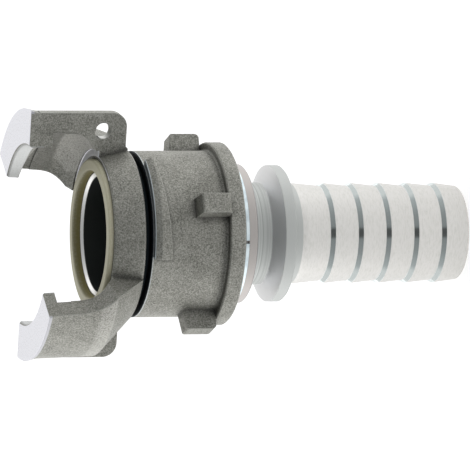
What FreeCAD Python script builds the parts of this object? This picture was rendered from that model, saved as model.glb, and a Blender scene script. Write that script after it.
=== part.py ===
import FreeCAD, Part
import os
import Sketcher

# A quarter turn hose coupling half. The axis is +Z, the hose tail's end face lies on z = 0
# and the claws point up. The X axis points between the claws.

os.makedirs("parts", exist_ok=True)
doc = FreeCAD.newDocument("quarter_turn_coupling")

# driving dimensions, millimetres and degrees

sizes = {
    # hose tail
    "crest_diameter": 38.4,
    "barb_depth": 1.0,
    "tip_drop": 1.2,
    "tail_wall": 3.3,
    "first_crest": 9.5,
    "barb_pitch": 11.1,
    "barb_count": 5,
    "barb_drop": 1.7,
    "land_drop": 0.1,
    "last_rise": 9.5,
    "plain_land": 6.1,
    "stop_height": 6.8,
    "stop_rim": 4.5,
    "stop_cone": 3.4,
    "neck_length": 7.6,
    "neck_depth": 1.5,
    "thread_rise": 1.7,
    "thread_length": 13.4,
    "tail_seal_thickness": 2.0,
    # head, measured from the sleeve's rear end
    "bore_diameter": 43.8,
    "sleeve_wall": 4.5,
    "groove_offset": 3.6,
    "groove_depth": 1.5,
    "snap_thickness": 1.5,
    "snap_width": 2.2,
    "snap_gap": 1.2,
    "snap_turn": 263.0,
    "shoulder_height": 2.1,
    "web_height": 1.1,
    "web_thickness": 2.0,
    "web_cone": 8.0,
    "collar_gap": 2.4,
    "collar_length": 11.6,
    "collar_flare": 2.4,
    "lip_wall": 1.8,
    "lip_drop": 1.1,
    "lip_chamfer": 1.0,
    "seal_width": 4.8,
    "seal_depth": 4.8,
    "seal_stand": 1.8,
    "seal_rounding": 0.9,
    "pocket_wall": 1.7,
    # claws
    "claw_reach": 27.0,
    "claw_diameter": 95.2,
    "claw_lip_depth": 0.9,
    "claw_lip": 3.6,
    "heel_inset": 0.7,
    "claw_start": 166.0,
    "claw_span": 63.2,
    "flare_span": 9.5,
    "flare_height": 13.5,
    "flare_width": 8.1,
    "flare_bend_radius": 20.2,
    "side_depth": 19.0,
    "side_inset": 1.0,
    "tooth_height": 5.3,
    "tooth_thickness": 8.9,
    "hook_pitch": 24.2,
    "tooth_relief": 0.3,
    "tooth_chamfer": 0.8,
    "arm_wall": 8.7,
    "throat_radius": 10.5,
    "floor_width": 3.8,
    "floor_height": 0.9,
    "heel_height": 1.5,
    "toe_width": 3.8,
    "fin_thickness": 4.2,
    "fin_drop": 0.7,
    "fin_rise": 1.1,
    "fin_corner": 5.4,
    "hole_diameter": 6.0,
    "hole_drop": 1.4,
    "hole_inset": 7.6,
    "trough_relief": 0.3,
    "trough_length": 20.2,
    "trough_drop": 12.0,
    # locking ring
    "ring_length": 37.8,
    "ring_wall": 5.1,
    "hub_wall": 0.7,
    "hub_length": 2.0,
    "flange_height": 3.2,
    "flange_thickness": 6.1,
    "lug_height": 7.2,
    "lug_width": 7.6,
    "lug_length": 12.7,
    "lug_rounding": 0.9,
    "lug_draft": 1.1,
    "lug_heel": 1.7,
    "lug_turn": 17.5,
    "lug_count": 4,
    "rim_height": 3.8,
    "rim_setback": 0.6,
    "rim_bevel": 2.4,
    "rim_thickness": 6.7,
    "rim_start": 74.0,
    "rim_span": 71.0,
    "rim_relief": 0.05,
    "rim_channel": 5.0,
    "rim_pitch": 19.5,
    # fits and edges
    "running_fit": 0.05,
    "axial_play": 0.1,
    "edge_break": 0.5,
    "cast_rounding": 0.8,
    "cutter_margin": 2.0,
}

sheet = doc.addObject("Spreadsheet::Sheet", "Sizes")
for row, (alias, number) in enumerate(sizes.items(), start=1):
    sheet.set(f"A{row}", alias)
    sheet.set(f"B{row}", str(number))
    sheet.setAlias(f"B{row}", alias)
doc.recompute()


class Length:
    """A size with its present number and the formula that ties it to the sheet."""

    def __init__(self, number, formula):
        self.number = number
        self.formula = formula

    def join(self, sign, other):
        """Both as one formula; the caller works out the number."""
        return f"({self.formula} {sign} {wrap(other).formula})"

    def __add__(self, other):
        return Length(self.number + wrap(other).number, self.join("+", other))

    def __sub__(self, other):
        return Length(self.number - wrap(other).number, self.join("-", other))

    def __mul__(self, other):
        return Length(self.number * wrap(other).number, self.join("*", other))

    def __truediv__(self, other):
        return Length(self.number / wrap(other).number, self.join("/", other))


def wrap(value):
    """Give a plain number the form of a Length."""
    if isinstance(value, Length):
        return value
    return Length(value, str(value))


def cell(alias):
    """The size in the sheet that has this alias."""
    return Length(sizes[alias], f"Sizes.{alias}")


def half(alias):
    """The radius that belongs to a diameter in the sheet."""
    return cell(alias) / 2


def new_body(name, height=None):
    """A body with its own label, raised to its place on the axis."""
    body = doc.addObject("PartDesign::Body", name)
    body.Label = name
    if height is not None:
        body.setExpression("Placement.Base.z", height.formula)
    return body


def origin_part(body, role):
    """One of the body's own origin planes or axes."""
    for feature in body.Origin.OriginFeatures:
        if feature.Role == role:
            return feature
    raise ValueError(role)


def new_sketch(body, name, role, turn=None):
    """A sketch on an origin plane, turned about Z."""
    sketch = body.newObject("Sketcher::SketchObject", name)
    sketch.AttachmentSupport = [(origin_part(body, role), "")]
    sketch.MapMode = "FlatFace"
    upright = FreeCAD.Vector(0, 1, 0)
    if turn is not None:
        turned = FreeCAD.Rotation(upright, turn.number)
        sketch.AttachmentOffset = FreeCAD.Placement(FreeCAD.Vector(0, 0, 0), turned)
        sketch.setExpression("AttachmentOffset.Rotation.Angle", turn.formula)
    return sketch


def place_point(sketch, edge, position, point):
    """Tie one end of an edge to its two distances from the sketch's origin."""
    for kind, distance in zip(("DistanceX", "DistanceY"), point):
        constraint = Sketcher.Constraint(kind, -1, 1, edge, position, wrap(distance).number)
        index = sketch.addConstraint(constraint)
        if isinstance(distance, Length):
            sketch.setExpression(f"Constraints[{index}]", distance.formula)


def draw_outline(sketch, points, bends=()):
    """A closed outline; bends gives an edge its radius, positive where it turns left."""
    bends = dict(bends)
    corners = [FreeCAD.Vector(wrap(x).number, wrap(y).number, 0) for x, y in points]
    count = len(corners)
    for index, start in enumerate(corners):
        end = corners[(index + 1) % count]
        if index in bends:
            sketch.addGeometry(bent_edge(start, end, wrap(bends[index]).number), False)
        else:
            sketch.addGeometry(Part.LineSegment(start, end), False)
    ends = []
    for index in range(count):
        reverse = index in bends and wrap(bends[index]).number < 0
        ends.append((2, 1) if reverse else (1, 2))
    for index in range(count):
        following = (index + 1) % count
        sketch.addConstraint(
            Sketcher.Constraint("Coincident", index, ends[index][1], following, ends[following][0])
        )
    for index, point in enumerate(points):
        place_point(sketch, index, ends[index][0], point)
    for index, radius in bends.items():
        size = abs(wrap(radius).number)
        constraint = sketch.addConstraint(Sketcher.Constraint("Radius", index, size))
        if isinstance(radius, Length):
            sketch.setExpression(f"Constraints[{constraint}]", f"abs({radius.formula})")


def bent_edge(start, end, radius):
    """An arc from start to end with its centre on the left for a positive radius."""
    chord = end - start
    middle = (start + end) * 0.5
    rise = (radius * radius - chord.Length * chord.Length / 4) ** 0.5
    left = FreeCAD.Vector(-chord.y, chord.x, 0)
    left.normalize()
    side = 1 if radius > 0 else -1
    centre = middle + left * (rise * side)
    circle = Part.Circle(centre, FreeCAD.Vector(0, 0, 1), abs(radius))
    first, second = (start, end) if side > 0 else (end, start)
    return Part.ArcOfCircle(circle, circle.parameter(first), circle.parameter(second))


def revolve(body, name, sketch, span=None):
    """Turn the outline about the axis, all round or through a span."""
    feature = body.newObject("PartDesign::Revolution", name)
    feature.Profile = sketch
    feature.ReferenceAxis = (sketch, ["V_Axis"])
    feature.Angle = 360
    if span is not None:
        feature.setExpression("Angle", span.formula)
    body.Tip = feature
    return feature


def helix_cut(body, name, sketch, pitch, span):
    """Cut a channel that climbs the axis by the pitch in each turn and turns through the span."""
    doc.recompute()
    feature = body.newObject("PartDesign::SubtractiveHelix", name)
    feature.Profile = sketch
    feature.ReferenceAxis = (sketch, ["V_Axis"])
    feature.Mode = "pitch-turns-angle"
    feature.setExpression("Pitch", pitch.formula)
    feature.setExpression("Turns", f"{span.formula} / 360")
    body.Tip = feature
    return feature


# radii and levels that several pieces share

bore = half("bore_diameter")
lip_radius = bore + cell("lip_wall")
pocket_radius = lip_radius + cell("seal_width")
collar_front_radius = pocket_radius + cell("pocket_wall")
collar_rear_radius = collar_front_radius + cell("collar_flare")
sleeve_radius = bore + cell("sleeve_wall")
crest_radius = half("crest_diameter")
thread_radius = crest_radius + cell("thread_rise")
neck_radius = thread_radius - cell("neck_depth")
tail_bore_radius = crest_radius - cell("tail_wall")
web_radius = tail_bore_radius + cell("web_height")
ring_bore_radius = sleeve_radius + cell("running_fit")
barrel_radius = sleeve_radius + cell("ring_wall")
claw_radius = half("claw_diameter")
arm_radius = claw_radius - cell("arm_wall")
tooth_radius = arm_radius - cell("tooth_height")

last_root = cell("first_crest") + cell("barb_pitch") * (cell("barb_count") - 1) + cell("barb_drop")
hose_stop = last_root + cell("last_rise") + cell("plain_land")
tail_top = hose_stop + cell("stop_rim") + cell("stop_cone") + cell("neck_length")
groove_width = cell("snap_thickness") + cell("axial_play")
snap_rear = cell("groove_offset") + cell("axial_play") / 2
ring_rear = cell("groove_offset") + groove_width + cell("axial_play") / 2
shoulder_level = ring_rear + cell("ring_length") + cell("axial_play")
collar_rear = shoulder_level + cell("collar_gap")
collar_front = collar_rear + cell("collar_length")
claw_front = collar_front + cell("claw_reach")
thread_start = cell("edge_break") * 2
thread_end = thread_start + cell("thread_length")
web_level = thread_end + cell("tail_seal_thickness")
heel_level = collar_front + cell("heel_height")
hole_radius = claw_radius - cell("hole_inset")
hole_level = collar_front - cell("hole_drop")


# hose tail, one turned piece with five barbs


def make_hose_tail():
    body = new_body("hose_tail")
    root = crest_radius - cell("barb_depth")
    tip = crest_radius - cell("tip_drop")
    land = crest_radius - cell("land_drop")
    rim = crest_radius + cell("stop_height")
    chamfer = cell("edge_break")
    points = [(tail_bore_radius, 0), (tip - chamfer, 0), (tip, chamfer)]
    for number in range(sizes["barb_count"]):
        level = cell("first_crest") + cell("barb_pitch") * number
        points.append((crest_radius, level))
        points.append((root, level + cell("barb_drop")))
    points.append((land, last_root + cell("last_rise")))
    points.append((land, hose_stop))
    points.append((rim - chamfer, hose_stop))
    points.append((rim, hose_stop + chamfer))
    points.append((rim, hose_stop + cell("stop_rim")))
    points.append((neck_radius, hose_stop + cell("stop_rim") + cell("stop_cone")))
    points.append((neck_radius, tail_top + thread_start))
    points.append((thread_radius, tail_top + thread_start + chamfer))
    points.append((thread_radius, tail_top + thread_end - chamfer))
    points.append((thread_radius - chamfer, tail_top + thread_end))
    points.append((tail_bore_radius, tail_top + thread_end))
    sketch = new_sketch(body, "tail_outline", "XZ_Plane")
    draw_outline(sketch, points)
    revolve(body, "tail_turning", sketch)
    return body


# washer between the shank's end and the web inside the head


def make_tail_seal():
    body = new_body("tail_seal", tail_top + thread_end)
    outer = thread_radius - cell("edge_break")
    top = cell("tail_seal_thickness")
    sketch = new_sketch(body, "washer_outline", "XZ_Plane")
    draw_outline(sketch, [(web_radius, 0), (outer, 0), (outer, top), (web_radius, top)])
    revolve(body, "washer", sketch)
    return body


# head casting with sleeve, collar and two hooked claws


def make_head():
    body = new_body("coupling_head", tail_top)
    head_turning(body)
    claw_parts = [claw_sector(body), hole_trough(body), claw_fin(body), claw_side(body)]
    claw_parts += [hook_face(body), lanyard_hole(body)]
    pattern = body.newObject("PartDesign::PolarPattern", "both_claws")
    pattern.Originals = claw_parts
    pattern.Axis = (origin_part(body, "Z_Axis"), [""])
    pattern.Angle = 360
    pattern.Occurrences = 2
    body.Tip = pattern
    return body


def head_turning(body):
    """Sleeve, shoulder, collar and bores in one outline."""
    groove = sleeve_radius - cell("groove_depth")
    thread = thread_radius + cell("running_fit")
    shoulder = sleeve_radius + cell("shoulder_height")
    chamfer = cell("edge_break")
    outer_wall = pocket_radius + cell("running_fit")
    inner_wall = lip_radius - cell("running_fit")
    pocket_floor = collar_front - cell("seal_depth")
    lip = collar_front - cell("lip_drop")
    web_top = web_level + cell("web_thickness")
    points = [
        (thread + chamfer, 0),
        (sleeve_radius - chamfer, 0),
        (sleeve_radius, chamfer),
        (sleeve_radius, cell("groove_offset")),
        (groove, cell("groove_offset")),
        (groove, cell("groove_offset") + groove_width),
        (sleeve_radius, cell("groove_offset") + groove_width),
        (sleeve_radius, shoulder_level),
        (shoulder, shoulder_level),
        (shoulder, collar_rear),
        (collar_rear_radius - chamfer, collar_rear),
        (collar_rear_radius, collar_rear + chamfer),
        (collar_front_radius, collar_front - chamfer),
        (collar_front_radius - chamfer, collar_front),
        (outer_wall, collar_front),
        (outer_wall, pocket_floor),
        (inner_wall, pocket_floor),
        (inner_wall, lip),
        (bore + cell("lip_chamfer"), lip),
        (bore, lip - cell("lip_chamfer")),
        (bore, web_top + cell("web_cone")),
        (web_radius, web_top),
        (web_radius, web_level),
        (thread, web_level),
        (thread, chamfer),
    ]
    sketch = new_sketch(body, "head_outline", "XZ_Plane")
    draw_outline(sketch, points)
    return revolve(body, "head_turning", sketch)


def claw_sector(body):
    """Arm, throat and tooth, turned through the claw's span and its flared foot."""
    floor = pocket_radius + cell("floor_width")
    root = pocket_radius + cell("pocket_wall") / 2
    step_radius = claw_radius - cell("claw_lip_depth")
    heel_radius = step_radius - cell("heel_inset")
    toe_radius = root + cell("toe_width")
    toe = heel_level - (heel_radius - toe_radius)
    tooth_rear = claw_front - cell("tooth_thickness")
    points = [
        (root, toe),
        (toe_radius, toe),
        (heel_radius, heel_level),
        (step_radius, claw_front - cell("claw_lip")),
        (claw_radius, claw_front),
        (tooth_radius + cell("tooth_chamfer"), claw_front),
        (tooth_radius, claw_front - cell("tooth_chamfer")),
        (tooth_radius, tooth_rear),
        (arm_radius, tooth_rear),
        (arm_radius, collar_front + cell("throat_radius")),
        (floor, collar_front + cell("floor_height")),
        (floor, collar_front),
        (root, collar_front),
    ]
    sketch = new_sketch(body, "claw_outline", "XZ_Plane", cell("claw_start"))
    draw_outline(sketch, points, {9: cell("throat_radius") * -1})
    return revolve(body, "claw_sector", sketch, cell("claw_span") + cell("flare_span"))


def claw_fin(body):
    """Flat plate at the claw's thick end, a little proud of the arm and down to the collar's rear."""
    inner = pocket_radius + cell("pocket_wall") / 2
    outer = claw_radius - cell("fin_drop")
    middle = arm_radius + cell("cast_rounding")
    top = claw_front - cell("claw_lip")
    rear = collar_rear + cell("fin_rise")
    corner = cell("fin_corner")
    points = [
        (inner, rear),
        (outer - corner, rear),
        (outer, rear + corner),
        (outer, top),
        (middle, top),
        (middle, collar_front),
        (inner, collar_front),
    ]
    sketch = new_sketch(body, "fin_outline", "XZ_Plane", cell("claw_start"))
    draw_outline(sketch, points, {1: corner})
    pad = body.newObject("PartDesign::Pad", "claw_fin")
    pad.Profile = sketch
    pad.setExpression("Length", "Sizes.fin_thickness")
    pad.Reversed = True
    body.Tip = pad
    return pad


def claw_side(body):
    """Cut the thin end of the claw flat above its flared foot."""
    foot = collar_front + cell("edge_break")
    top = claw_front + cell("cutter_margin")
    points = [
        (0, top),
        (cell("side_inset"), foot + cell("flare_height")),
        (cell("flare_width"), foot),
        (cell("side_depth"), foot),
        (cell("side_depth"), top),
    ]
    side_turn = cell("claw_start") + cell("claw_span")
    sketch = new_sketch(body, "side_outline", "YZ_Plane", side_turn)
    draw_outline(sketch, points, {1: cell("flare_bend_radius")})
    pocket = body.newObject("PartDesign::Pocket", "claw_side")
    pocket.Profile = sketch
    pocket.Type = "Length"
    pocket.Reversed = True
    pocket.setExpression("Length", (claw_radius + cell("cutter_margin")).formula)
    body.Tip = pocket
    return pocket


def hook_face(body):
    """Cut the tooth's rear face as a cam that climbs towards the thin end."""
    arm = arm_radius + cell("tooth_relief")
    tooth = tooth_radius - cell("cutter_margin")
    top = claw_front - cell("tooth_thickness")
    bottom = top - cell("tooth_height")
    sketch = new_sketch(body, "hook_outline", "XZ_Plane", cell("claw_start"))
    draw_outline(sketch, [(tooth, bottom), (arm, bottom), (arm, top), (tooth, top)])
    return helix_cut(body, "hook_face", sketch, cell("hook_pitch"), cell("claw_span") + cell("flare_span"))


def lanyard_hole(body):
    """Hole through the fin for a chain or lanyard."""
    radius = half("hole_diameter")
    centre = (hole_radius, hole_level)
    sketch = new_sketch(body, "hole_outline", "XZ_Plane", cell("claw_start"))
    middle = FreeCAD.Vector(hole_radius.number, hole_level.number, 0)
    circle = Part.Circle(middle, FreeCAD.Vector(0, 0, 1), radius.number)
    sketch.addGeometry(circle, False)
    place_point(sketch, 0, 3, centre)
    index = sketch.addConstraint(Sketcher.Constraint("Radius", 0, radius.number))
    sketch.setExpression(f"Constraints[{index}]", radius.formula)
    pocket = body.newObject("PartDesign::Pocket", "lanyard_hole")
    pocket.Profile = sketch
    pocket.Type = "Length"
    pocket.setExpression("Length", "Sizes.fin_thickness")
    body.Tip = pocket
    return pocket


def hole_trough(body):
    """Trough behind the plate, open to the rear, a little wider than the hole that ends in it."""
    radius = half("hole_diameter") + cell("trough_relief")
    bottom = hole_level - cell("trough_drop")
    points = [
        (hole_radius - radius, bottom),
        (hole_radius + radius, bottom),
        (hole_radius + radius, hole_level),
        (hole_radius, hole_level + radius),
        (hole_radius - radius, hole_level),
    ]
    sketch = new_sketch(body, "trough_outline", "XZ_Plane", cell("claw_start"))
    draw_outline(sketch, points, {2: radius, 3: radius})
    pocket = body.newObject("PartDesign::Pocket", "hole_trough")
    pocket.Profile = sketch
    pocket.Type = "Length"
    pocket.setExpression("Length", "Sizes.trough_length")
    body.Tip = pocket
    return pocket


# rubber ring in the head's front


def make_face_seal():
    body = new_body("face_seal", tail_top + collar_front - cell("seal_depth"))
    top = cell("seal_depth") + cell("seal_stand")
    lip = cell("seal_depth") - cell("lip_drop")
    rounding = cell("seal_rounding")
    points = [
        (lip_radius, 0),
        (pocket_radius, 0),
        (pocket_radius, top - rounding),
        (pocket_radius - rounding, top),
        (lip_radius + rounding, top),
        (lip_radius + cell("edge_break"), top - cell("edge_break")),
        (lip_radius, lip),
    ]
    sketch = new_sketch(body, "seal_outline", "XZ_Plane")
    draw_outline(sketch, points, {2: rounding})
    revolve(body, "seal_ring", sketch)
    return body


# locking ring with flange, lugs and raised cam rims


def make_locking_ring():
    body = new_body("locking_ring", tail_top + ring_rear)
    ring_turning(body)
    rim_parts = [rim_sector(body), rim_cam(body)]
    rims = body.newObject("PartDesign::PolarPattern", "both_rims")
    rims.Originals = rim_parts
    rims.Axis = (origin_part(body, "Z_Axis"), [""])
    rims.Angle = 360
    rims.Occurrences = 2
    body.Tip = rims
    lug = grip_lug(body)
    lugs = body.newObject("PartDesign::PolarPattern", "grip_lugs")
    lugs.Originals = [lug]
    lugs.Axis = (origin_part(body, "Z_Axis"), [""])
    lugs.Angle = 360
    lugs.setExpression("Occurrences", "Sizes.lug_count")
    body.Tip = lugs
    return body


def ring_turning(body):
    """Bore, hub, flange and barrel in one outline."""
    chamfer = cell("edge_break")
    rounding = cell("cast_rounding")
    hub = sleeve_radius + cell("hub_wall")
    flange = barrel_radius + cell("flange_height")
    flange_rear = cell("hub_length")
    flange_front = flange_rear + cell("flange_thickness")
    top = cell("ring_length")
    points = [
        (ring_bore_radius, 0),
        (hub, 0),
        (hub, flange_rear),
        (flange - chamfer, flange_rear),
        (flange, flange_rear + chamfer),
        (flange, flange_front - chamfer),
        (flange - chamfer, flange_front),
        (barrel_radius + rounding, flange_front),
        (barrel_radius, flange_front + rounding),
        (barrel_radius, top - chamfer),
        (barrel_radius - chamfer, top),
        (ring_bore_radius, top),
    ]
    sketch = new_sketch(body, "ring_outline", "XZ_Plane")
    draw_outline(sketch, points, {7: rounding * -1})
    return revolve(body, "ring_turning", sketch)


def rim_sector(body):
    """Raised rim at the ring's front, thick over its whole span before its cam is cut."""
    outer = barrel_radius + cell("rim_height")
    inner = barrel_radius - cell("edge_break") * 2
    chamfer = cell("edge_break")
    top = cell("ring_length") - cell("rim_setback")
    bottom = top - cell("rim_thickness")
    points = [
        (inner, bottom),
        (outer - chamfer, bottom),
        (outer, bottom + chamfer),
        (outer, top - cell("rim_bevel")),
        (outer - cell("rim_bevel") / 2, top),
        (inner, top),
    ]
    sketch = new_sketch(body, "rim_outline", "XZ_Plane", cell("rim_start"))
    draw_outline(sketch, points)
    return revolve(body, "rim_sector", sketch, cell("rim_span"))


def rim_cam(body):
    """Cut the rim's rear face as a cam that climbs towards its thin end."""
    outer = barrel_radius + cell("rim_height") + cell("cutter_margin")
    inner = barrel_radius - cell("rim_relief")
    top = cell("ring_length") - cell("rim_setback") - cell("rim_thickness")
    bottom = top - cell("rim_channel")
    sketch = new_sketch(body, "cam_outline", "XZ_Plane", cell("rim_start"))
    draw_outline(sketch, [(inner, bottom), (outer, bottom), (outer, top), (inner, top)])
    return helix_cut(body, "rim_cam", sketch, cell("rim_pitch"), cell("rim_span"))


def grip_lug(body):
    """One grip lug ahead of the flange, rounded at both ends."""
    outer = barrel_radius + cell("lug_height")
    inner = barrel_radius - cell("edge_break") * 2
    rear = cell("hub_length") + cell("flange_thickness")
    front = rear + cell("lug_length")
    heel = cell("lug_heel")
    nose = cell("lug_rounding")
    draft = cell("lug_draft")
    points = [
        (inner, rear),
        (outer - heel, rear),
        (outer, rear + heel),
        (outer, front - nose - draft),
        (outer - nose, front - draft),
        (inner, front),
    ]
    sketch = new_sketch(body, "lug_outline", "XZ_Plane", cell("lug_turn"))
    draw_outline(sketch, points, {1: heel, 3: nose})
    pad = body.newObject("PartDesign::Pad", "grip_lug")
    pad.Profile = sketch
    pad.setExpression("Length", "Sizes.lug_width")
    pad.Midplane = True
    body.Tip = pad
    return pad


# split spring ring in the sleeve's groove


def make_snap_ring():
    body = new_body("snap_ring", tail_top + snap_rear)
    inner = sleeve_radius - cell("groove_depth") + cell("running_fit")
    outer = inner + cell("snap_width")
    top = cell("snap_thickness")
    chamfer = cell("edge_break") / 3
    points = [
        (inner, 0),
        (outer - chamfer, 0),
        (outer, chamfer),
        (outer, top - chamfer),
        (outer - chamfer, top),
        (inner, top),
    ]
    sketch = new_sketch(body, "snap_outline", "XZ_Plane")
    draw_outline(sketch, points)
    revolve(body, "snap_turning", sketch)
    doc.recompute()
    slot = new_sketch(body, "gap_outline", "XZ_Plane", cell("snap_turn"))
    near = inner - cell("snap_gap")
    far = outer + cell("snap_gap")
    over = top + cell("snap_gap")
    under = cell("snap_gap") * -1
    draw_outline(slot, [(near, under), (far, under), (far, over), (near, over)])
    pocket = body.newObject("PartDesign::Pocket", "snap_gap")
    pocket.Profile = slot
    pocket.Type = "Length"
    pocket.Midplane = True
    pocket.setExpression("Length", "Sizes.snap_gap")
    body.Tip = pocket
    return body


bodies = [
    make_hose_tail(),
    make_tail_seal(),
    make_head(),
    make_face_seal(),
    make_locking_ring(),
    make_snap_ring(),
]
doc.recompute()

for item in doc.Objects:
    if "Invalid" in item.State or "Error" in item.State:
        raise RuntimeError(f"{item.Name} failed: {item.State}")
for body in bodies:
    shape = body.Shape
    if shape.isNull() or not shape.isValid() or len(shape.Solids) != 1:
        raise RuntimeError(f"{body.Label} is not one valid solid")
for body in bodies:
    body.Shape.exportStep(f"parts/{body.Label}.step")
    box = body.Shape.BoundBox
    print(f"{body.Label}: {body.Shape.Volume:.0f} mm3, z {box.ZMin:.2f} to {box.ZMax:.2f}")
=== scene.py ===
import math

import bpy
from mathutils import Matrix, Vector

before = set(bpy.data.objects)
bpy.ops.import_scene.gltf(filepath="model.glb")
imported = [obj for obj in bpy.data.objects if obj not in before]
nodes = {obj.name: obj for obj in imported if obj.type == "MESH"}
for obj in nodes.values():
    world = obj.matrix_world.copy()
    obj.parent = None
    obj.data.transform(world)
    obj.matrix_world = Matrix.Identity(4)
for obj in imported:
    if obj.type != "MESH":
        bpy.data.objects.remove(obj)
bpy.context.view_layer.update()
print("frame loaded:", ", ".join(sorted(nodes)))

# The coupling stands on the end of its hose tail, with the axis along +Z and the claws up.
# The photo shows it lying down: its left is +Z and its top is +X, so the camera is rolled.


def hexColour(text):
    channels = [int(text[i:i + 2], 16) / 255 for i in (1, 3, 5)]
    linear = [c / 12.92 if c <= 0.04045 else ((c + 0.055) / 1.055) ** 2.4 for c in channels]
    return (*linear, 1.0)


def addNode(tree, kind, inputs=None, out=0, **settings):
    # one node with its settings, its input values or links, and the output that goes on
    node = tree.nodes.new("ShaderNode" + kind)
    for name, value in settings.items():
        setattr(node, name, value)
    for name, value in (inputs or {}).items():
        if isinstance(value, bpy.types.NodeSocket):
            tree.links.new(value, node.inputs[name])
        else:
            node.inputs[name].default_value = value
    return node.outputs[out] if node.outputs else None


def newMaterial(name):
    material = bpy.data.materials.new(name)
    material.use_nodes = True
    material.node_tree.nodes.clear()
    return material, material.node_tree


def dress(node, material):
    nodes[node].data.materials.clear()
    nodes[node].data.materials.append(material)


def axisPlace(tree):
    # object coordinates, and a point's distance from the axis (r), its height along the axis
    # (z) and its distance from the plane between the claws (x)
    coordinates = addNode(tree, "TexCoord", out="Object")
    flat = addNode(tree, "VectorMath", {0: coordinates, 1: (1, 1, 0)}, operation="MULTIPLY")
    apart = addNode(tree, "SeparateXYZ", {0: coordinates}, "X")
    return coordinates, {
        "r": addNode(tree, "VectorMath", {0: flat}, "Value", operation="LENGTH"),
        "z": addNode(tree, "SeparateXYZ", {0: coordinates}, "Z"),
        "x": addNode(tree, "Math", {0: apart}, operation="ABSOLUTE"),
    }


def zoneMask(tree, place, zones, soft=0.04):
    # 1 inside any of these zones, whose limits are in millimetres
    total = None
    for zone in zones:
        band = None
        for axis, (low, high) in zone.items():
            off = addNode(tree, "Math", {
                0: place[axis], 1: (low + high) / 2000}, operation="SUBTRACT")
            away = addNode(tree, "Math", {0: off}, operation="ABSOLUTE")
            reach = (high - low) / 2
            inside = addNode(tree, "MapRange", {
                "Value": away, "From Min": (reach + soft) / 1000,
                "From Max": (reach - soft) / 1000})
            band = inside if band is None else addNode(
                tree, "Math", {0: band, 1: inside}, operation="MULTIPLY")
        total = band if total is None else addNode(
            tree, "Math", {0: total, 1: band}, operation="MAXIMUM")
    return total


# Cast aluminium, shot-blasted: a matt grey skin with a sparkle of fine grit, darker in its
# corners with painted shade, rubbed lighter on its edges, white where a cutter has been.

castLook = {
    "skinDark": "#5f5f58",
    "skinLight": "#bebdb6",
    "rubbedEdge": "#c6c6c0",
    # painted shade: the tone that darkens the casting's corners and recesses
    "corner": "#1f2021",
    "skinRoughness": 0.6,
    "gritSize": 0.56,  # mm; real grit is 0.3 mm, too fine to show
    "gritHeight": 0.16,  # mm
    "grainRange": {"From Min": 0.36, "From Max": 0.64},
    "cloudSize": 11.0,  # mm
    "cloudRange": {"From Min": 0.3, "From Max": 0.7},
    "cloudShare": 0.22,
    "cornerReach": 3.5,  # mm
    "cornerRange": {"From Min": 0.95, "From Max": 0.35, "To Max": 0.75},
    "openRange": {"From Min": 0.8, "From Max": 0.95},  # only edges that stand free are rubbed
    "edgeRadius": 0.55,  # mm
    "edgeRange": {"From Min": 0.995, "From Max": 0.86, "To Max": 0.62},
    "paintedPatchGrain": (0.4, 1.6),  # the painted light and shade patches keep the grain
    "pitRange": {"From Min": 0.38, "From Max": 0.5, "To Min": 0.75},
    "cutGrit": 0.08,  # a cut face's share of the casting's relief
    "holeAway": 40.0,  # mm from the coupling's axis to the axis of a hole in a claw's plate
    "holeUp": 142.45,  # mm
    "holeAlong": (0.241922, 0.970296, 0),
    "paintedLightAndShade": {
        "coupling_head": [
            # painted light on the throats and the heels of the claws
            {"tone": "#d2d0cb", "share": 0.38, "zones": [
                {"r": (31, 38.8), "z": (144.3, 152.8), "x": (24, 41), "depth": (5, 32)},  # throats
                {"r": (45.6, 46.4), "z": (143, 150.5)}]},  # heels of the claws
            # painted shade on the walls behind the hooks
            {"tone": "#2c2d2b", "share": 0.3, "zones": [
                {"r": (38.6, 39.3), "z": (152.4, 167), "x": (20, 41)}]},  # walls behind the hooks
        ],
        "locking_ring": [],
    },
    # cut faces, and painted shade on the bore and in the gap between the collar and the locking
    # ring
    "cutFacesAndShade": {
        "coupling_head": [
            {"tone": "#b4b4b8", "roughness": 0.5, "zones": [
                {"r": (46.5, 50), "z": (169.6, 172)}]},  # outer bevel of the claw front faces
            {"tone": "#ececf1", "roughness": 0.36, "pitted": True, "zones": [
                {"r": (30, 50), "z": (170.78, 172)},  # claw front faces
                {"r": (29.6, 32.35), "z": (143.6, 144.1), "x": (20, 40)}]},  # floor of the throats
            {"tone": "#fbfaf8", "roughness": 0.3, "zones": [
                {"r": (21.95, 23.25), "z": (141.6, 143)}]},  # lip round the bore
            {"tone": "#acadac", "roughness": 0.4, "pitted": True, "zones": [
                {"r": (30, 34.0), "z": (165.2, 172)}]},  # inner faces of the teeth
            {"tone": "#b2adaa", "roughness": 0.4, "zones": [
                {"r": (20, 28), "z": (80, 92.2)}]},  # turned end of the sleeve
            {"tone": "#e4e6e8", "roughness": 0.3, "zones": [
                {"r": (16, 28), "z": (86, 86.9)}]},  # the sleeve's rear face
            {"tone": "#bebeba", "roughness": 0.45, "zones": [
                {"hole": (-3, 3.06), "depth": (-0.2, 4.4)}]},  # drilled holes in the plates
            # painted shade darkens the bore
            {"tone": "#565a5a", "roughness": 0.6, "zones": [
                {"r": (10, 21.95), "z": (100, 141.7)}]},  # the bore
            # painted shade in the gap ahead of the locking ring
            {"tone": "#23292d", "roughness": 0.6, "zones": [
                {"r": (25, 29), "z": (128, 132.2)}]},  # the gap ahead of the locking ring
        ],
        "locking_ring": [
            {"tone": "#e6e8ea", "roughness": 0.36, "zones": [
                {"r": (24, 27.3), "z": (91, 94.1)}]},  # hub that bears on the snap ring
            {"tone": "#e2eaee", "roughness": 0.4, "zones": [
                {"r": (31.5, 34.2), "z": (128.9, 129.3)}]},  # front faces of the cam rims
            # painted shade on the ring's front end, in the gap
            {"tone": "#23292d", "roughness": 0.6, "zones": [
                {"r": (20, 31.45), "z": (129.2, 130)}]},  # front end, in the gap
        ],
    },
}


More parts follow.
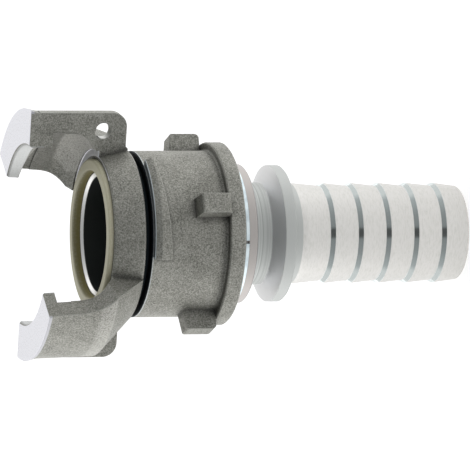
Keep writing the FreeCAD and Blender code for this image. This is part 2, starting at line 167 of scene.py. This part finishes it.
def holePlace(tree, coordinates, place, look):
    # the distance from the axis of the nearer hole (hole), and how far along it (depth)
    forward, aside, up = look["holeAlong"]
    across = addNode(tree, "VectorMath", {
        0: coordinates, 1: (aside, -forward, up)}, "Value", operation="DOT_PRODUCT")
    along = addNode(tree, "VectorMath", {
        0: coordinates, 1: (forward, aside, up)}, "Value", operation="DOT_PRODUCT")
    side = addNode(tree, "Math", {0: across}, operation="SIGN")
    away = addNode(tree, "Math", {0: across}, operation="ABSOLUTE")
    away = addNode(tree, "Math", {0: away, 1: look["holeAway"] / 1000}, operation="SUBTRACT")
    over = addNode(tree, "Math", {0: place["z"], 1: look["holeUp"] / 1000}, operation="SUBTRACT")
    offset = addNode(tree, "CombineXYZ", {0: away, 1: over})
    place["hole"] = addNode(tree, "VectorMath", {0: offset}, "Value", operation="LENGTH")
    place["depth"] = addNode(tree, "Math", {0: along, 1: side}, operation="MULTIPLY")


def castAluminium(name, look, node):
    material, tree = newMaterial(name)
    coordinates, place = axisPlace(tree)
    holePlace(tree, coordinates, place, look)
    grit = addNode(tree, "TexNoise", {
        "Vector": coordinates, "Scale": 1000 / look["gritSize"], "Detail": 6.0, "Roughness": 0.7})
    cloud = addNode(tree, "TexNoise", {
        "Vector": coordinates, "Scale": 1000 / look["cloudSize"], "Detail": 4.0, "Roughness": 0.5})
    grain = addNode(tree, "MapRange", {"Value": grit, **look["grainRange"]})
    patch = addNode(tree, "MapRange", {"Value": cloud, **look["cloudRange"]})
    both = addNode(tree, "Mix", {0: look["cloudShare"], 2: grain, 3: patch})
    skin = addNode(tree, "Mix", {
        0: both, 6: hexColour(look["skinDark"]), 7: hexColour(look["skinLight"])}, 2,
        data_type="RGBA")
    # the bevel node rounds the casting's edges, and where it turns the surface it is an edge
    rounded = addNode(tree, "Bevel", {"Radius": look["edgeRadius"] / 1000}, samples=6)
    flat = addNode(tree, "NewGeometry", out="Normal")
    turned = addNode(tree, "VectorMath", {0: rounded, 1: flat}, "Value", operation="DOT_PRODUCT")
    edge = addNode(tree, "MapRange", {"Value": turned, **look["edgeRange"]})
    free = addNode(tree, "AmbientOcclusion", {
        "Distance": look["cornerReach"] / 1000}, "AO", samples=8)
    outer = addNode(tree, "MapRange", {"Value": free, **look["openRange"]})
    rub = addNode(tree, "Math", {0: edge, 1: outer}, operation="MULTIPLY")
    skin = addNode(tree, "Mix", {
        0: rub, 6: skin, 7: hexColour(look["rubbedEdge"])}, 2, data_type="RGBA")
    # painted shade darkens the skin where the occlusion finds other surfaces close by
    paintedCornerShade = addNode(tree, "MapRange", {"Value": free, **look["cornerRange"]})
    skin = addNode(tree, "Mix", {
        0: paintedCornerShade, 6: skin, 7: hexColour(look["corner"])}, 2, data_type="RGBA")
    # painted light lightens the throats and the heels of the claws, and painted shade darkens the
    # walls behind the hooks
    least, most = look["paintedPatchGrain"]
    for part in look["paintedLightAndShade"][node]:
        share = addNode(tree, "MapRange", {
            "Value": grain, "To Min": part["share"] * least, "To Max": part["share"] * most})
        mask = zoneMask(tree, place, part["zones"], soft=0.5)
        mask = addNode(tree, "Math", {0: mask, 1: share}, operation="MULTIPLY")
        skin = addNode(tree, "Mix", {
            0: mask, 6: skin, 7: hexColour(part["tone"])}, 2, data_type="RGBA")
    cutAndShadeMask, colour, roughness = 0.0, skin, look["skinRoughness"]
    # a cut face keeps the deepest pits of the casting
    pits = addNode(tree, "MapRange", {"Value": grit, **look["pitRange"]})
    for face in look["cutFacesAndShade"][node]:
        mask = zoneMask(tree, place, face["zones"])
        if "pitted" in face:
            mask = addNode(tree, "Math", {0: mask, 1: pits}, operation="MULTIPLY")
        colour = addNode(tree, "Mix", {
            0: mask, 6: colour, 7: hexColour(face["tone"])}, 2, data_type="RGBA")
        roughness = addNode(tree, "Mix", {0: mask, 2: roughness, 3: face["roughness"]})
        cutAndShadeMask = addNode(tree, "Math", {0: mask, 1: cutAndShadeMask}, operation="MAXIMUM")
    depth = addNode(tree, "Mix", {0: cutAndShadeMask, 2: 1.0, 3: look["cutGrit"]})
    bump = addNode(tree, "Bump", {
        "Strength": depth, "Distance": look["gritHeight"] / 1000, "Height": grit,
        "Normal": rounded})
    shader = addNode(tree, "BsdfPrincipled", {
        "Base Color": colour, "Metallic": 1.0, "Roughness": roughness, "Normal": bump})
    addNode(tree, "OutputMaterial", {"Surface": shader})
    return material


dress("coupling_head", castAluminium("blastedCastHead", castLook, "coupling_head"))
dress("locking_ring", castAluminium("blastedCastRing", castLook, "locking_ring"))
print("castings done")


# Turned aluminium: matt and nearly white on the long cuts, with the fine rings that the
# lathe leaves, and smooth and cold on the short steep faces that the tool's flank has cut.

tailLook = {
    "metal": "#dad8d5",
    "collarMetal": "#b9bbb9",
    "scuff": "#cccbc6",
    "flankMetal": "#c8cfce",
    "coneMetal": "#e2e2e2",
    "roughness": 0.44,
    "collarRoughness": 0.46,
    "flankRoughness": 0.15,
    # stop collar and neck, and the end of the land next to them
    "collarZones": [{"r": (15, 30), "z": (66.8, 90)}],
    "flankLean": {"From Min": 0.3, "From Max": 0.4},  # how far a face looks towards the claws
    "toolPitch": 0.9,  # mm; the real feed is 0.15 mm, too fine to show
    "toolDepth": 0.008,  # mm
    "toolStrength": 0.6,
    "scuffSize": 2.2,  # mm, round the tail
    "scuffDraw": 4,  # times shorter along the axis
    "scuffRange": {"From Min": 0.45, "From Max": 0.7},
    "bandSize": 0.8,  # mm, the darker and lighter rings of the neck and stop collar
    "bandTone": "#969996",
    "bandRange": {"From Min": 0.42, "From Max": 0.7},
    "neckZones": [{"r": (15, 20), "z": (74, 90)}],
    "edgeRadius": 0.35,  # mm
}


def turnedAluminium(name, look):
    material, tree = newMaterial(name)
    coordinates, place = axisPlace(tree)
    # the scuffs run round the tail, as the tool did
    drawn = addNode(tree, "VectorMath", {
        0: coordinates, 1: (1, 1, look["scuffDraw"])}, operation="MULTIPLY")
    scuff = addNode(tree, "TexNoise", {
        "Vector": drawn, "Scale": 1000 / look["scuffSize"], "Detail": 5.0, "Roughness": 0.7})
    marks = addNode(tree, "MapRange", {"Value": scuff, **look["scuffRange"]})
    colour = addNode(tree, "Mix", {
        0: marks, 6: hexColour(look["metal"]), 7: hexColour(look["scuff"])}, 2, data_type="RGBA")
    along = addNode(tree, "Math", {0: place["z"], 1: place["r"]}, operation="ADD")
    band = addNode(tree, "TexNoise", {
        "W": along, "Scale": 1000 / look["bandSize"], "Detail": 4.0, "Roughness": 0.7},
        noise_dimensions="1D")
    band = addNode(tree, "MapRange", {"Value": band, **look["bandRange"]})
    neck = zoneMask(tree, place, look["neckZones"])
    band = addNode(tree, "Math", {0: band, 1: neck}, operation="MULTIPLY")
    turned = addNode(tree, "Mix", {
        0: band, 6: hexColour(look["collarMetal"]), 7: hexColour(look["bandTone"])}, 2,
        data_type="RGBA")
    collar = zoneMask(tree, place, look["collarZones"])
    colour = addNode(tree, "Mix", {0: collar, 6: colour, 7: turned}, 2, data_type="RGBA")
    # the steep faces look towards the claws, the long cuts outwards
    flat = addNode(tree, "NewGeometry", out="True Normal")
    lean = addNode(tree, "SeparateXYZ", {0: flat}, "Z")
    flank = addNode(tree, "MapRange", {"Value": lean, **look["flankLean"]})
    steep = addNode(tree, "Mix", {
        0: collar, 6: hexColour(look["flankMetal"]), 7: hexColour(look["coneMetal"])}, 2,
        data_type="RGBA")
    colour = addNode(tree, "Mix", {0: flank, 6: colour, 7: steep}, 2, data_type="RGBA")
    phase = addNode(tree, "Math", {
        0: along, 1: 2000 * math.pi / look["toolPitch"]}, operation="MULTIPLY")
    rings = addNode(tree, "Math", {0: phase}, operation="SINE")
    rounded = addNode(tree, "Bevel", {"Radius": look["edgeRadius"] / 1000}, samples=6)
    bump = addNode(tree, "Bump", {
        "Strength": look["toolStrength"], "Distance": look["toolDepth"] / 1000, "Height": rings,
        "Normal": rounded})
    roughness = addNode(tree, "Mix", {0: flank, 2: look["roughness"], 3: look["flankRoughness"]})
    roughness = addNode(tree, "Mix", {0: collar, 2: roughness, 3: look["collarRoughness"]})
    shader = addNode(tree, "BsdfPrincipled", {
        "Base Color": colour, "Metallic": 1.0, "Roughness": roughness, "Normal": bump})
    addNode(tree, "OutputMaterial", {"Surface": shader})
    return material


dress("hose_tail", turnedAluminium("turnedTail", tailLook))
print("hose tail done")


# Moulded nitrile rubber: khaki and matt, dusty on its face, with painted shade darkening its inner
# wall.

sealLook = {
    "face": "#c6c1a6",
    # painted shade: the inner wall's darker khaki
    "wall": "#958b58",
    "dust": "#d2cebb",
    "roughness": 0.6,
    "speckSize": 0.8,  # mm
    "speckDepth": 0.04,  # mm
    "speckStrength": 0.4,
    "dustRange": {"From Min": 0.5, "From Max": 0.8},
    "wallDust": 0.15,
    "wallRadius": 24.2,  # mm
    "wallEdge": 0.3,  # mm
    "edgeRadius": 0.4,  # mm
}
washerLook = dict(sealLook, face="#1b1b1b", wall="#1b1b1b", dust="#262626")


def mouldedRubber(name, look):
    material, tree = newMaterial(name)
    coordinates, place = axisPlace(tree)
    speck = addNode(tree, "TexNoise", {
        "Vector": coordinates, "Scale": 1000 / look["speckSize"], "Detail": 3.0, "Roughness": 0.6})
    # painted shade: the inner wall takes the darker colour
    inner = addNode(tree, "MapRange", {
        "Value": place["r"], "From Min": (look["wallRadius"] + look["wallEdge"]) / 1000,
        "From Max": (look["wallRadius"] - look["wallEdge"]) / 1000})
    base = addNode(tree, "Mix", {
        0: inner, 6: hexColour(look["face"]), 7: hexColour(look["wall"])}, 2, data_type="RGBA")
    dusty = addNode(tree, "MapRange", {"Value": inner, "To Min": 1.0, "To Max": look["wallDust"]})
    dust = addNode(tree, "MapRange", {"Value": speck, "To Max": dusty, **look["dustRange"]})
    colour = addNode(tree, "Mix", {
        0: dust, 6: base, 7: hexColour(look["dust"])}, 2, data_type="RGBA")
    rounded = addNode(tree, "Bevel", {"Radius": look["edgeRadius"] / 1000}, samples=6)
    bump = addNode(tree, "Bump", {
        "Strength": look["speckStrength"], "Distance": look["speckDepth"] / 1000,
        "Height": speck, "Normal": rounded})
    shader = addNode(tree, "BsdfPrincipled", {
        "Base Color": colour, "Metallic": 0.0, "Roughness": look["roughness"], "Normal": bump})
    addNode(tree, "OutputMaterial", {"Surface": shader})
    return material


dress("face_seal", mouldedRubber("khakiSealRubber", sealLook))
dress("tail_seal", mouldedRubber("blackWasherRubber", washerLook))
print("seals done")


# Zinc plated spring steel: smooth, with a cold blue cast and a few duller patches.

springLook = {
    "zinc": "#e2eef2",
    "stain": "#b2c1c8",
    "roughness": 0.3,
    "stainSize": 5.0,  # mm
    "stainRange": {"From Min": 0.45, "From Max": 0.75},
}


def zincSteel(name, look):
    material, tree = newMaterial(name)
    coordinates = addNode(tree, "TexCoord", out="Object")
    stain = addNode(tree, "TexNoise", {
        "Vector": coordinates, "Scale": 1000 / look["stainSize"], "Detail": 3.0})
    patch = addNode(tree, "MapRange", {"Value": stain, **look["stainRange"]})
    colour = addNode(tree, "Mix", {
        0: patch, 6: hexColour(look["zinc"]), 7: hexColour(look["stain"])}, 2, data_type="RGBA")
    shader = addNode(tree, "BsdfPrincipled", {
        "Base Color": colour, "Metallic": 1.0, "Roughness": look["roughness"]})
    addNode(tree, "OutputMaterial", {"Surface": shader})
    return material


dress("snap_ring", zincSteel("zincSpringSteel", springLook))
print("snap ring done")


# floor, lights and camera

studio = {
    "floorSize": 12,  # metres, like all lengths here
    "floorColour": "#f4f4f4",
    "floorRoughness": 0.9,
    "floorGlow": 0.6,
    # more glow at the photo's lower and upper side, less of it under the camera
    "lowGlow": {"From Min": -0.1, "From Max": -0.45, "To Max": 0.85},
    "topGlow": {"From Min": 0.1, "From Max": 0.45, "To Max": 0.55},
    "frontShare": {"From Min": -0.35, "From Max": 0.0, "To Min": 0.35},
    "roomLight": 0.95,
    "darkSide": (0.0, -0.64, 0.77),  # the unlit side of the room, over the camera
    "wallTones": ((0.14, 1.0), (0.36, 0.6), (0.56, 0.54), (0.8, 0.4), (1.0, 0.34)),
    "wallTint": (1.0, 1.03, 1.04),
    "cameraGap": (0.0, -0.8, 0.6),
    "gapWidth": {"From Min": 0.2, "From Max": 0.14},
    "gapHeight": {"From Min": 0.88, "From Max": 0.95},
    "gapTone": (0.11, 0.11, 0.11, 1),
    "boxes": {"topBox": (0.5, 0.7, 0.9), "lowBox": (-0.5, 0.7, 0.9)},
    "boxAim": (0, 0, 0.09),
    "boxPower": 0.5,
    "boxWidth": 1.0,
    "boxHeight": 0.8,
    "cameraRise": 16.8,  # degrees that the camera stands above the floor's level
    "cameraRoll": 0.3,
    "aim": (-0.00057, 0.0, 0.08809),
    "distance": 2.28,
    "lens": 459.6,  # mm, on a sensor 36 mm wide
    "sensor": 36,
    "nearClip": 0.1,
    "farClip": 50,
}

bpy.ops.object.select_all(action="DESELECT")
bpy.ops.mesh.primitive_plane_add(size=studio["floorSize"], location=(0, 0, 0))
floor = bpy.context.object
floor.name = "studioFloor"
# the floor's glow is painted light: it lights the coupling from both sides and from behind
floorMaterial, floorTree = newMaterial("glowingFloor")
onFloor = addNode(floorTree, "TexCoord", out="Object")
acrossFloor = addNode(floorTree, "SeparateXYZ", {0: onFloor}, "X")
alongFloor = addNode(floorTree, "SeparateXYZ", {0: onFloor}, "Y")
lowSide = addNode(floorTree, "MapRange", {"Value": acrossFloor, **studio["lowGlow"]})
topSide = addNode(floorTree, "MapRange", {"Value": acrossFloor, **studio["topGlow"]})
behind = addNode(floorTree, "MapRange", {"Value": alongFloor, **studio["frontShare"]})
glow = addNode(floorTree, "Math", {0: lowSide, 1: topSide}, operation="ADD")
glow = addNode(floorTree, "Math", {0: glow, 1: studio["floorGlow"]}, operation="ADD")
glow = addNode(floorTree, "Math", {0: glow, 1: behind}, operation="MULTIPLY")
floorShader = addNode(floorTree, "BsdfPrincipled", {
    "Base Color": hexColour(studio["floorColour"]), "Roughness": studio["floorRoughness"],
    "Emission Color": (1, 1, 1, 1), "Emission Strength": glow})
addNode(floorTree, "OutputMaterial", {"Surface": floorShader})
floor.data.materials.append(floorMaterial)

# the room is white behind the coupling and at its sides, and a cool grey over the camera,
# with a narrow dark gap that the camera stands in
world = bpy.data.worlds.new("whiteRoom")
world.use_nodes = True
roomTree = world.node_tree
roomTree.nodes.clear()
direction = addNode(roomTree, "TexCoord", out="Generated")
facing = addNode(roomTree, "VectorMath", {
    0: direction, 1: Vector(studio["darkSide"]).normalized()}, "Value", operation="DOT_PRODUCT")
room = addNode(roomTree, "ValToRGB", {"Fac": facing})
wall = room.node.color_ramp.elements
wall.remove(wall[1])
for position, level in studio["wallTones"]:
    wall.new(position).color = (*(min(1, level * tint) for tint in studio["wallTint"]), 1)
wall.remove(wall[0])
sideways = addNode(roomTree, "SeparateXYZ", {0: direction}, "X")
offAxis = addNode(roomTree, "Math", {0: sideways}, operation="ABSOLUTE")
narrow = addNode(roomTree, "MapRange", {"Value": offAxis, **studio["gapWidth"]})
toGap = addNode(roomTree, "VectorMath", {
    0: direction, 1: Vector(studio["cameraGap"])}, "Value", operation="DOT_PRODUCT")
near = addNode(roomTree, "MapRange", {"Value": toGap, **studio["gapHeight"]})
gap = addNode(roomTree, "Math", {0: narrow, 1: near}, operation="MULTIPLY")
room = addNode(roomTree, "Mix", {0: gap, 6: room, 7: studio["gapTone"]}, 2, data_type="RGBA")
background = addNode(roomTree, "Background", {"Color": room, "Strength": studio["roomLight"]})
addNode(roomTree, "OutputWorld", {"Surface": background})
bpy.context.scene.world = world
bpy.context.scene.view_settings.view_transform = "Standard"

for name, place in studio["boxes"].items():
    light = bpy.data.lights.new(name, "AREA")
    light.energy = studio["boxPower"]
    light.shape = "RECTANGLE"
    light.size = studio["boxWidth"]
    light.size_y = studio["boxHeight"]
    lamp = bpy.data.objects.new(name, light)
    lamp.location = place
    lamp.rotation_mode = "QUATERNION"
    lamp.rotation_quaternion = (Vector(studio["boxAim"]) - Vector(place)).to_track_quat("-Z", "Y")
    bpy.context.scene.collection.objects.link(lamp)

rise = math.radians(studio["cameraRise"])
roll = math.radians(studio["cameraRoll"])
back = Vector((0, -math.cos(rise), math.sin(rise)))
right = Vector((0, -math.sin(rise), -math.cos(rise)))
up = Vector((1, 0, 0))
rolledRight = right * math.cos(roll) - up * math.sin(roll)
rolledUp = up * math.cos(roll) + right * math.sin(roll)
lensData = bpy.data.cameras.new("photoCamera")
lensData.lens = studio["lens"]
lensData.sensor_width = studio["sensor"]
lensData.clip_start = studio["nearClip"]
lensData.clip_end = studio["farClip"]
camera = bpy.data.objects.new("photoCamera", lensData)
turn = Matrix((rolledRight, rolledUp, back)).transposed().to_4x4()
spot = Vector(studio["aim"]) + back * studio["distance"]
camera.matrix_world = Matrix.Translation(spot) @ turn
bpy.context.scene.collection.objects.link(camera)
bpy.context.scene.camera = camera
print("floor, lights and camera done")
